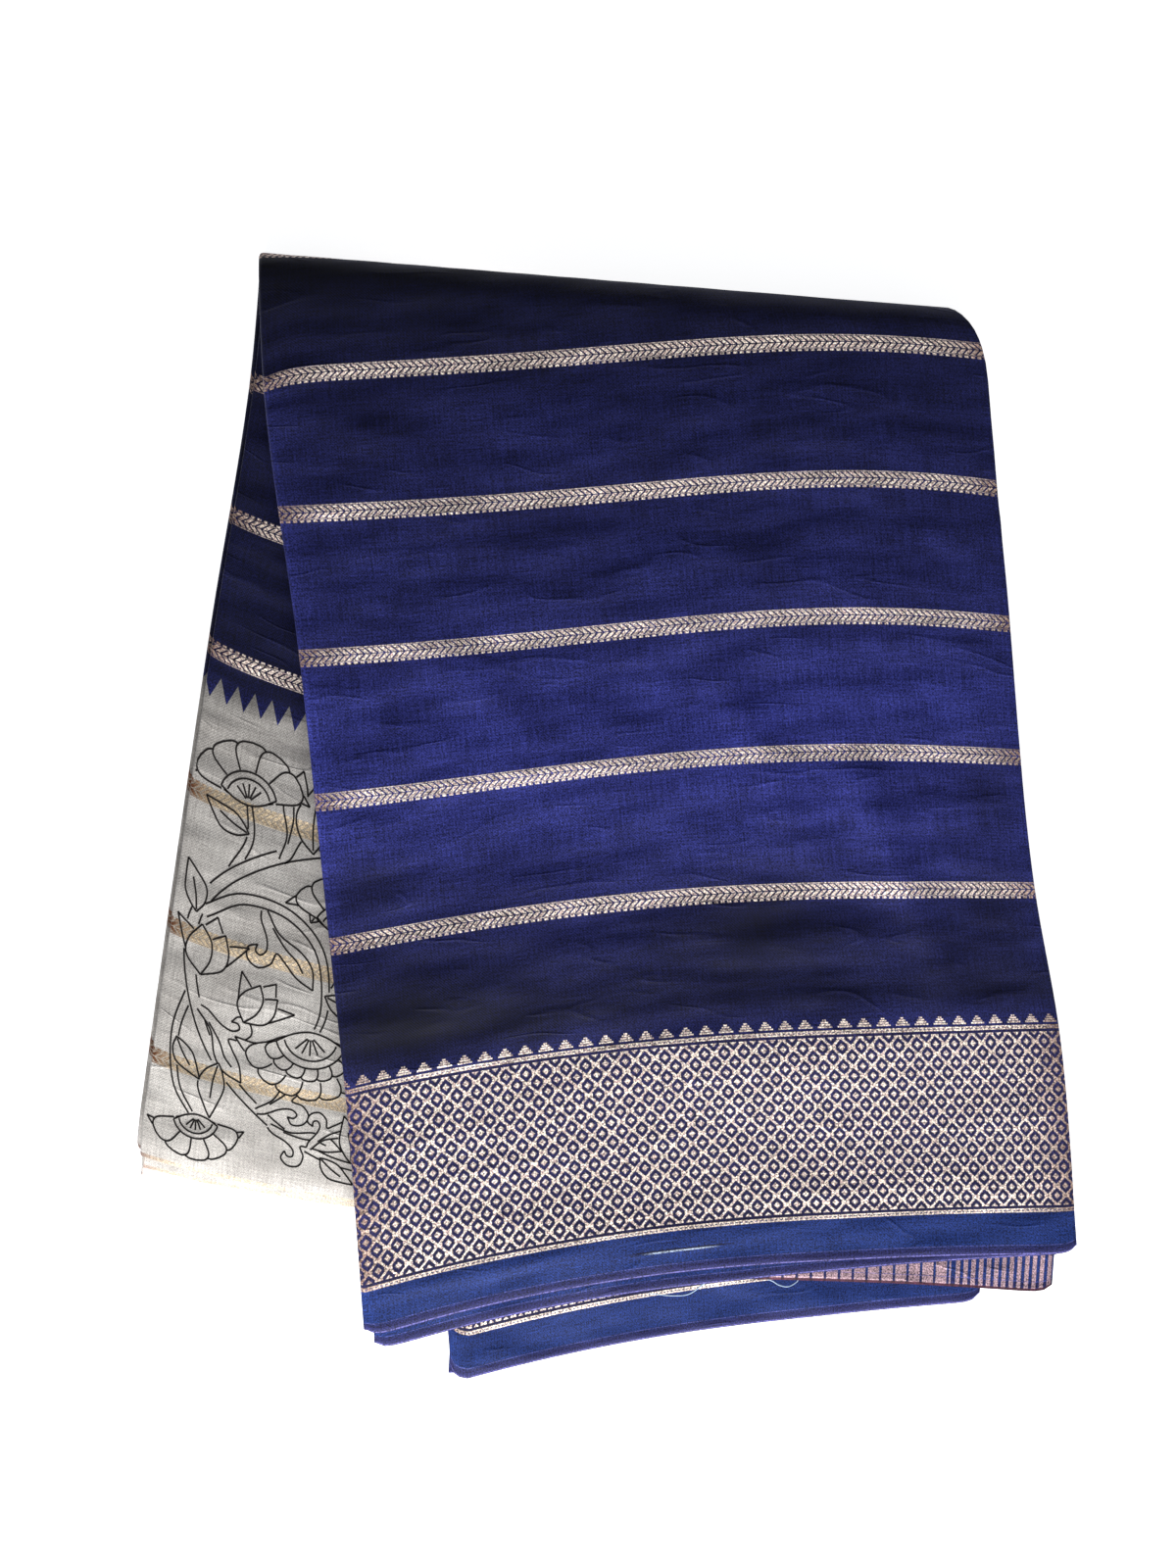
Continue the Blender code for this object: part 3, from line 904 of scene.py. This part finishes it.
@dataclass
class WovenPattern(NodeSheet):
    """Masks of the cloth's woven and printed pattern, on its map in millimetres.

    Widths run from the front selvedge. Each mask is one inside its motif.
    Shares are half sizes, as a part of what repeats.
    """

    stripe_first: float = 210.0
    stripe_pitch: float = 77.0
    stripe_half: float = 4.4
    stripes_from: float = 180.0
    chevron_pitch: float = 3.6
    chevron_slant: float = 0.30
    chevron_share: float = 0.34
    chevron_middle: float = 0.7
    chevron_row: float = 1.75
    chevron_half: float = 1.5
    dash_share: float = 0.3
    dash_row: float = -3.9
    dash_half: float = 0.6
    rim_rows: tuple[tuple[float, float], ...] = ((4.5, 0.32), (-2.9, 0.2))
    rim_depth: float = 0.75
    far_rim_from: float = 1115.8
    far_rim_depth: float = 0.6
    border_low: float = 26.0
    border_high: float = 132.0
    lattice_inset: float = 2.8
    lattice_wide: float = 10.65
    lattice_high: float = 11.15
    lattice_line: float = 0.08
    crossing_wide: float = 0.40
    crossing_high: float = 0.17
    star_from: float = 0.335
    chain_half: float = 1.15
    chain_pitch: float = 2.7
    eye_half: float = 0.35
    eye_share: float = 0.25
    eye_depth: float = 0.8
    tooth_from: float = 134.4
    tooth_pitch: float = 10.8
    tooth_high: float = 4.9
    tooth_half: float = 3.9
    tooth_step: float = 1.22
    tooth_share: float = 0.38
    narrow_pitch: float = 4.7
    narrow_share: float = 0.27
    narrow_to: float = 62.0
    wide_pitch: float = 8.1
    wide_share: float = 0.40
    wide_middle: float = 118.0
    wide_half: float = 55.0
    end_bars_inset: float = 1.0
    print_from: float = 846.0
    zigzag_pitch: float = 9.6
    zigzag_high: float = 12.6
    pinch_length: float = 1007.0
    pinch_width: float = 13.4

    def __post_init__(self) -> None:
        """Read the cloth's map: its length, and its width from the front selvedge."""
        super().__post_init__()
        uv = self.add("ShaderNodeUVMap", uv_map="cloth")
        self.in_mm = self.add("ShaderNodeVectorMath", uv, (1 / MM,) * 3, operation="MULTIPLY")
        self.length = self.add("ShaderNodeSeparateXYZ", self.in_mm, output="X")
        self.width = self.add("ShaderNodeSeparateXYZ", self.in_mm, output="Y")
        self.border_middle = (self.border_low + self.border_high) / 2
        self.border_half = (self.border_high - self.border_low) / 2

    def within(self, value: Any, middle: float, half: float, soft: float = 0.15) -> Any:
        """Soft mask where a value is within half of the middle."""
        away = self.add("ABSOLUTE", self.add("SUBTRACT", value, middle))
        return self.add("MULTIPLY_ADD", away, -1 / soft, half / soft + 0.5, use_clamp=True)

    def above(self, value: Any, level: Any, soft: float = 0.15) -> Any:
        """Soft mask where a value is above a level."""
        past = self.add("SUBTRACT", value, level)
        return self.add("MULTIPLY_ADD", past, 1 / soft, 0.5, use_clamp=True)

    def bars(self, value: Any, pitch: float, share: float, soft: float = 0.12) -> Any:
        """Soft mask of one bar in the middle of each repeat of a value."""
        return self.within(self.add("FRACT", self.add("DIVIDE", value, pitch)), 0.5, share, soft)

    def off_stripe(self) -> Any:
        """Distance from the middle of the nearest stripe."""
        half = self.stripe_pitch / 2
        return self.add("WRAP", self.add("SUBTRACT", self.width, self.stripe_first), half, -half)

    def stripes(self) -> Any:
        """Herringbone stripes, two slanted rows over a row of short dashes, and the far rim."""
        off = self.off_stripe()
        rows = self.add("ABSOLUTE", self.add("SUBTRACT", off, self.chevron_middle))
        straight = self.add("DIVIDE", self.length, -self.chevron_pitch)
        slant = self.add("MULTIPLY_ADD", rows, self.chevron_slant, straight)
        body = self.add("MULTIPLY", self.bars(slant, 1.0, self.chevron_share),
                        self.within(rows, self.chevron_row, self.chevron_half))
        dashes = self.add("MULTIPLY", self.bars(self.length, self.chevron_pitch, self.dash_share),
                          self.within(off, self.dash_row, self.dash_half))
        rims = self.most(*(self.within(off, row, half) for row, half in self.rim_rows))
        every = self.most(body, dashes, self.add("MULTIPLY", rims, self.rim_depth))
        inside = self.add("MULTIPLY", every, self.above(self.width, self.stripes_from))
        far_rim = self.add("MULTIPLY", self.above(self.width, self.far_rim_from), self.far_rim_depth)
        return self.add("MAXIMUM", inside, far_rim)

    def lattice(self) -> Any:
        """Diamond lattice with flat crossings and a small star in each cell."""
        x = self.add("DIVIDE", self.length, self.lattice_wide)
        y = self.add("DIVIDE", self.add("SUBTRACT", self.width, self.border_middle), self.lattice_high)
        rising = self.add("WRAP", self.add("ADD", x, y), 0.5, -0.5)
        falling = self.add("WRAP", self.add("SUBTRACT", x, y), 0.5, -0.5)
        near = self.add("MINIMUM", self.add("ABSOLUTE", rising), self.add("ABSOLUTE", falling))
        lines = self.within(near, 0.0, self.lattice_line, 0.05)
        across = self.within(self.add("ADD", rising, falling), 0.0, self.crossing_wide, 0.06)
        high = self.within(self.add("SUBTRACT", rising, falling), 0.0, self.crossing_high, 0.05)
        every = self.most(lines, self.add("MULTIPLY", across, high), self.above(near, self.star_from, 0.08))
        inside = self.within(self.width, self.border_middle, self.border_half - self.lattice_inset)
        return self.add("MULTIPLY", every, inside)

    def chains(self) -> Any:
        """Gold chain line along each side of the border."""
        sides = [self.add("ABSOLUTE", self.add("SUBTRACT", self.width, side))
                 for side in (self.border_low, self.border_high)]
        off = self.add("MINIMUM", *sides)
        eyes = self.add("MULTIPLY", self.within(off, 0.0, self.eye_half),
                        self.bars(self.length, self.chain_pitch, self.eye_share, 0.1))
        eyes = self.add("MULTIPLY", eyes, self.eye_depth)
        return self.add("SUBTRACT", self.within(off, 0.0, self.chain_half), eyes, use_clamp=True)

    def teeth(self) -> Any:
        """Row of stepped temple teeth on the border's upper line."""
        high = self.add("SUBTRACT", self.width, self.tooth_from)
        whole = self.add("FLOOR", self.add("DIVIDE", high, self.tooth_step))
        step = self.add("MULTIPLY", whole, self.tooth_step)
        reach = self.add("MULTIPLY_ADD", step, -self.tooth_half / self.tooth_high, self.tooth_half)
        body = self.above(reach, self.add("PINGPONG", self.length, self.tooth_pitch / 2))
        body = self.add("MULTIPLY", body, self.bars(high, self.tooth_step, self.tooth_share, 0.1))
        return self.add("MULTIPLY", body, self.within(high, self.tooth_high / 2, self.tooth_high / 2))

    def end_bars(self) -> Any:
        """Gold bars across the cloth by its outer cut end, narrow and then wide."""
        narrow = self.add("MULTIPLY", self.bars(self.length, self.narrow_pitch, self.narrow_share, 0.06),
                          self.above(self.narrow_to, self.length))
        wide = self.add("MULTIPLY", self.bars(self.length, self.wide_pitch, self.wide_share, 0.04),
                        self.within(self.length, self.wide_middle, self.wide_half))
        below = self.above(self.border_low - self.end_bars_inset, self.width)
        return self.add("MULTIPLY", self.add("MAXIMUM", narrow, wide), below)

    def pinch(self, shift: float, half_high: float, half_long: float) -> Any:
        """Thin line of a crease pinched into the outer layer's hem."""
        return self.add("MULTIPLY", self.within(self.width, self.pinch_width + shift, half_high, 0.4),
                        self.within(self.length, self.pinch_length, half_long, 9.0))

    def printed(self) -> Any:
        """The printed half, which starts at a zigzag line."""
        half = self.zigzag_pitch / 2
        level = self.add("MULTIPLY_ADD", self.add("PINGPONG", self.length, half), self.zigzag_high / half,
                         self.print_from - self.zigzag_high / 2)
        return self.above(self.width, level, 0.3)


@dataclass(frozen=True)
class ClothColours:
    """sRGB colours of the silk and cotton cloth and its gold thread."""

    navy: str = "#15184a"
    navy_light: str = "#2b3074"
    hem: str = "#213a82"
    selvedge: str = "#2c2e68"
    selvedge_line: str = "#6f6bb0"
    pinch_light: str = "#c3d3ee"
    pinch_shade: str = "#0c0e2c"
    border_ground: str = "#23224f"
    cream: str = "#99948f"
    cream_light: str = "#bbb7b2"
    gold: str = "#fbecdc"
    gold_shade: str = "#b79c98"
    gold_cream: str = "#dcc7a6"
    gold_cream_shade: str = "#a08c74"
    gold_worn: str = "#6b4029"
    stripe_bed: str = "#94836b"
    end_gold: str = "#a58a92"
    cord: str = "#3a1526"
    sheen: str = "#6f7de0"


@dataclass
class ClothMaterial(WovenPattern):
    """Silk and cotton plain weave with flat metal thread, loom woven.

    The weave gives a soft satin glow with uneven threads, and the metal
    thread small bright glints in two tones. Threads are drawn at 0.8 mm,
    coarser than the real 0.3 mm, so that they show. Pairs of values are for
    the navy and the cream cloth.
    """

    name: str = "silk_cotton_weave_with_zari"
    colours: ClothColours = ClothColours()
    thread_pair: float = 1.6
    thread_contrast: float = 0.35
    grain_per_mm: float = 0.95
    grain_contrast: tuple[float, float] = (4.0, 1.2)
    slub_contrast: tuple[float, float] = (2.8, 1.0)
    darkest: float = 0.25
    mottle_per_mm: float = 0.02
    mottle_contrast: float = 1.6
    slub_mottle: float = 1.2
    glint_per_mm: float = 0.75
    worn_power: tuple[float, float] = (1.6, 3.2)
    worn_depth: tuple[float, float] = (0.7, 1.0)
    stripe_bed_depth: float = 0.55
    selvedge_wide: float = 5.0
    selvedge_lines: tuple[tuple[float, float], ...] = ((0.6, 0.3), (5.6, 0.12))
    cord_wide: float = 1.6
    cord_from: float = 190.0
    thread_depth: float = 0.3 * MM
    dent_depth: float = 6 * MM
    crease_depth: float = 0.6 * MM

    def build(self) -> bpy.types.Material:
        """The whole material, from its masks down to the shader."""
        self.cream = self.printed()
        self.end_gold = self.end_bars()
        self.gold = self.most(self.stripes(), self.lattice(), self.chains(), self.teeth(), self.end_gold)
        self.in_border = self.within(self.width, self.border_middle, self.border_half - 1.0)
        self.slubs = self.slub_noise()
        self.thread = self.thread_height()
        # weave grain times painted light and shade
        shade = self.shade()
        grey = self.add("ShaderNodeCombineXYZ", shade, shade, shade)
        return self.surface({
            "Base Color": self.add("ShaderNodeVectorMath", self.colour(), grey, operation="MULTIPLY"),
            "Metallic": self.add("MULTIPLY", self.gold, 0.2),
            "Roughness": self.add("MULTIPLY_ADD", self.gold, -0.25, 0.72),
            "Normal": self.relief(),
            "Specular IOR Level": 0.18,
            "Sheen Weight": 0.05,
            "Sheen Roughness": 0.4,
            "Sheen Tint": linear(self.colours.sheen),
        })

    def swing(self, value: Any, contrast: Any, middle: Any, **settings: Any) -> Any:
        """Swing of a noise from its half, made larger and put round a middle."""
        return self.add("MULTIPLY_ADD", self.add("SUBTRACT", value, 0.5), contrast, middle, **settings)

    def mark(self, name: str) -> Any:
        """Value that the sheet keeps at each of its points."""
        return self.add("ShaderNodeAttribute", output="Fac", attribute_name=name)

    def colour(self) -> Any:
        """Dyed and printed ground, gold thread over it, and the lines near its edges."""
        tints = self.colours
        noise = self.add(NOISE, self.in_mm, self.mottle_per_mm, 3.0, 0.6)
        mottle = self.swing(noise, self.mottle_contrast, 0.5)
        mottle = self.swing(self.slubs, self.slub_mottle, mottle, use_clamp=True)
        stripe = self.add("MULTIPLY", self.cream, self.within(self.off_stripe(), 0.0, self.stripe_half))
        lines = self.most(*(self.within(self.width, row, half) for row, half in self.selvedge_lines))
        cord = self.add("MULTIPLY", self.above(self.cord_wide, self.width, 0.4),
                        self.above(self.cord_from, self.length))
        return self.layers(
            tints.navy,
            (mottle, tints.navy_light),
            (self.above(self.border_low, self.width, 0.6), tints.hem),
            (self.in_border, tints.border_ground),
            (self.above(self.selvedge_wide, self.width, 1.0), tints.selvedge),
            (self.cream, self.layers(tints.cream, (mottle, tints.cream_light))),
            (self.add("MULTIPLY", stripe, self.stripe_bed_depth), tints.stripe_bed),
            (self.gold, self.metal()),
            (self.pinch(0.9, 0.55, 27.0), tints.pinch_shade),
            (self.pinch(0.0, 0.5, 17.0), tints.pinch_light),
            (lines, tints.selvedge_line),
            (cord, tints.cord))

    def metal(self) -> Any:
        """Gold thread with glints, in another tone on the cream half and worn at the folds."""
        tints = self.colours
        glint = self.above(self.add(NOISE, self.in_mm, self.glint_per_mm, 2.0, 0.6), 0.47, 0.16)
        power = self.add(MIX, self.cream, *self.worn_power)
        worn = self.add("MULTIPLY", self.add("POWER", self.mark("near_fold"), power),
                        self.add(MIX, self.cream, *self.worn_depth))
        return self.layers(
            tints.gold_shade,
            (glint, tints.gold),
            (self.cream, self.layers(tints.gold_cream_shade, (glint, tints.gold_cream))),
            (worn, tints.gold_worn),
            (self.end_gold, tints.end_gold))

    def shade(self) -> Any:
        """Light and dark threads, times the sheet's painted light and shade where no gold thread lies."""
        grain = self.add(NOISE, self.in_mm, self.grain_per_mm, 1.0, 0.7)
        shade = self.swing(grain, self.add(MIX, self.cream, *self.grain_contrast), 1.0)
        shade = self.swing(self.slubs, self.add(MIX, self.cream, *self.slub_contrast), shade)
        shade = self.swing(self.thread, self.thread_contrast, self.add("MAXIMUM", shade, self.darkest))
        return self.add("MULTIPLY", shade, self.add(MIX, self.gold, self.mark("painted_light_and_shade"), 1.0))

    def relief(self) -> Any:
        """Threads, then soft dents that are weaker in the stiff border, then sharp creases."""
        height = self.add("MULTIPLY_ADD", self.slubs, 0.8, self.thread)
        height = self.add("MULTIPLY_ADD", self.gold, 0.35, height)
        bump = self.add(BUMP, 0.35, self.thread_depth, None, height)
        soft, sharp = self.wrinkle_heights()
        strength = self.add("MULTIPLY_ADD", self.in_border, -0.35, 0.6)
        bump = self.add(BUMP, strength, self.dent_depth, None, soft, bump)
        return self.add(BUMP, 0.45, self.crease_depth, None, sharp, bump)

    def slub_noise(self) -> Any:
        """Uneven threads: long thin streaks along both thread directions."""
        streaks = []
        for along, across in ((0.05, 1.1), (1.1, 0.05)):
            place = self.add("ShaderNodeCombineXYZ", self.add("MULTIPLY", self.length, along),
                             self.add("MULTIPLY", self.width, across), 0.0)
            streaks.append(self.add(NOISE, place, 1.0, 2.0, 0.6))
        return self.add("MULTIPLY", self.add("ADD", *streaks), 0.5)

    def wrinkle_heights(self) -> tuple[Any, Any]:
        """Soft dents, and sharp creases where a long slanted noise passes its middle."""
        heights = []
        for along, slant, across, shift in ((0.0055, 0.003, 0.014, 3.7), (0.0045, -0.004, 0.017, 9.2)):
            leaning = self.add("MULTIPLY_ADD", self.width, slant, shift)
            place = self.add("ShaderNodeCombineXYZ", self.add("MULTIPLY_ADD", self.length, along, leaning),
                             self.add("MULTIPLY", self.width, across), shift)
            heights.append(self.add(NOISE, place, 4.0, 1.0, 0.3))
        away = self.add("ABSOLUTE", self.add("SUBTRACT", heights[1], 0.5))
        sharp = self.add("MULTIPLY_ADD", away, -26.0, 1.0, use_clamp=True)
        return heights[0], self.add("MULTIPLY", sharp, self.above(heights[0], 0.58, 0.10))

    def thread_height(self) -> Any:
        """Plain weave: a product of two waves, one thread up and the next down."""
        turn = 2 * math.pi / self.thread_pair
        waves = [self.add("SINE", self.add("MULTIPLY", value, turn)) for value in (self.length, self.width)]
        return self.add("MULTIPLY_ADD", self.add("MULTIPLY", *waves), 0.5, 0.5)


def ink_material() -> bpy.types.Material:
    """Black-brown pigment paste, block printed: matt, and a little broken by the weave."""
    sheet = NodeSheet("block_printed_pigment")
    worn = sheet.add(NOISE, sheet.add("ShaderNodeTexCoord", output="Object"), 700.0, 2.0, 0.6)
    return sheet.surface({
        "Base Color": sheet.layers("#070606", (worn, "#2e2a29")),
        "Normal": sheet.add(BUMP, 0.2, 0.2 * MM, None, worn),
        "Roughness": 0.85,
        "Specular IOR Level": 0.15,
    })


def thread_material() -> bpy.types.Material:
    """Fine spun silk: a pale soft gloss with a twist of light and dark."""
    sheet = NodeSheet("spun_silk_thread")
    twist = sheet.add(NOISE, sheet.add("ShaderNodeTexCoord", output="Object"), 900.0, 1.0, 0.5)
    return sheet.surface({"Base Color": sheet.layers("#6f9fce", (twist, "#dfeaf3")), "Roughness": 0.5})


@dataclass
class Studio:
    """Pale floor, soft light from the front of the pile and the camera."""

    camera_at: tuple[float, float, float] = (-0.1148, 0.0178, 1.0145)
    camera_turn: float = math.radians(-6.0)
    lens: float = 41.6
    floor_size: float = 8.0
    floor_glow: float = 0.78
    room_light: float = 0.3
    window_power: float = 78.0

    def build(self) -> None:
        """Make the floor, the lights, the world and the camera."""
        half = self.floor_size / 2
        places = np.array([[-half, -half, 0], [half, -half, 0], [half, half, 0], [-half, half, 0]])
        floor = mesh_object("pale_floor", places, np.array([[0, 1, 2, 3]]), places[:, :2])
        floor.data.materials.append(NodeSheet("matt_white_paper").surface({
            "Base Color": linear("#fbfbfb"),
            "Emission Color": linear("#ffffff"),
            "Emission Strength": self.floor_glow,
            "Roughness": 0.9,
        }))
        self.light("front_window", (-0.1, -1.8, 0.75), (math.radians(67.5), 0, 0), (1.0, 0.35),
                   self.window_power)
        world = bpy.data.worlds.new("soft_room")
        world.use_nodes = True
        backdrop = world.node_tree.nodes["Background"]
        backdrop.inputs["Color"].default_value = linear("#eef1f6")
        backdrop.inputs["Strength"].default_value = self.room_light
        bpy.context.scene.world = world
        bpy.context.scene.view_settings.view_transform = "Standard"
        lens = bpy.data.cameras.new("photo_camera")
        lens.lens = self.lens
        camera = bpy.data.objects.new("photo_camera", lens)
        camera.location = (self.camera_at[0] - CENTRE_SHIFT[0], self.camera_at[1] - CENTRE_SHIFT[1],
                           self.camera_at[2])
        camera.rotation_euler = (0.0, self.camera_turn, 0.0)
        bpy.context.scene.collection.objects.link(camera)
        bpy.context.scene.camera = camera

    def light(self, name: str, place: tuple[float, float, float], turn: tuple[float, float, float],
              size: tuple[float, float], power: float) -> None:
        """Soft rectangular light.

        Args:
            name: the light's name.
            place: its place.
            turn: its rotation in radians.
            size: its two sides.
            power: its power in watts.
        """
        data = bpy.data.lights.new(name, "AREA")
        data.shape = "RECTANGLE"
        data.size, data.size_y = size
        data.energy = power
        lamp = bpy.data.objects.new(name, data)
        lamp.location = place
        lamp.rotation_euler = turn
        bpy.context.scene.collection.objects.link(lamp)


def main() -> None:
    """Load the frame, build each piece and report it."""
    logging.basicConfig(level=logging.INFO, format="%(message)s")
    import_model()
    shape = PileShape()
    cloth = SariCloth(shape).build()
    cloth.data.materials.append(ClothMaterial().build())
    printed = PrintedOutlines(shape).build()
    threads = LooseThreads().build()
    for piece in (cloth, printed, threads):
        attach(piece, BODY)
        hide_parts(NODE)
        LOG.info("%s: %d vertices", piece.name, len(piece.data.vertices))
    Studio().build()


if __name__ == "__main__":
    main()
